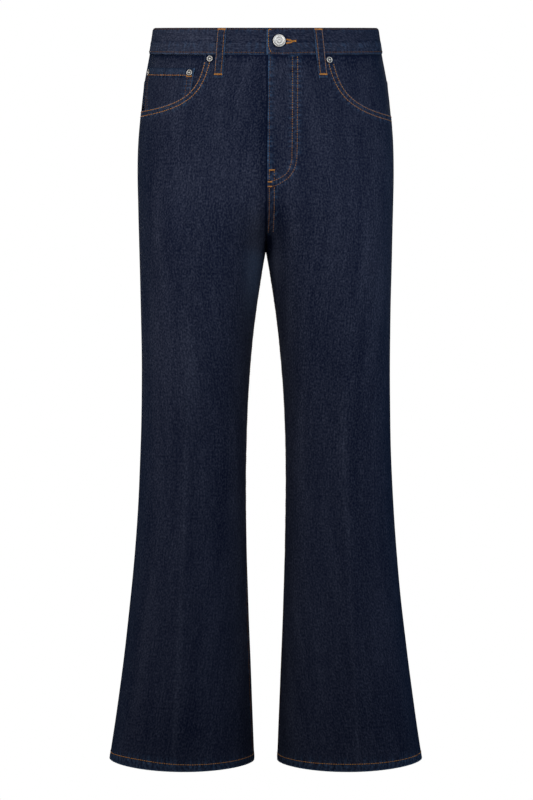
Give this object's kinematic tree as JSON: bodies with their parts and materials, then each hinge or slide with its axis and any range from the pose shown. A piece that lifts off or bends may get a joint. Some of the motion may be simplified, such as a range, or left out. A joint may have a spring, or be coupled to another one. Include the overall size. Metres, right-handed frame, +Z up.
{
  "type": "flared jeans",
  "caption": "Hollow flared jeans filled out as worn, with a buttoned waistband, belt loops, scooped front pockets, a coin pocket, back yokes and patch pockets.",
  "frame": {"origin": "middle of the waist opening, level with the waistband's top edge at the side seams", "axes": "+Z up the body, -Y to the wearer's front, +X to the wearer's left"},
  "size_m": [0.4216, 0.2432, 1.008],
  "materials": {
    "denim": "dark indigo twill, matt, topstitched in copper thread",
    "tack_metal": "plain silver-coloured metal"
  },
  "bodies": {
    "root": {"front_left": "denim", "front_right": "denim", "back_left": "denim", "back_right": "denim", "yoke_left": "denim", "yoke_right": "denim", "back_pocket_left": "denim", "back_pocket_right": "denim", "pocket_facing_left": "denim", "pocket_facing_right": "denim", "coin_pocket": "denim", "fly_shield": "denim", "waistband": "denim", "belt_loop_front_right": "denim", "belt_loop_side_right": "denim", "belt_loop_back": "denim", "belt_loop_side_left": "denim", "belt_loop_front_left": "denim", "button": "tack_metal", "rivet_pocket_right": "tack_metal", "rivet_pocket_left": "tack_metal", "rivet_coin_inner": "tack_metal", "rivet_coin_outer": "tack_metal"}
  },
  "joints": []
}
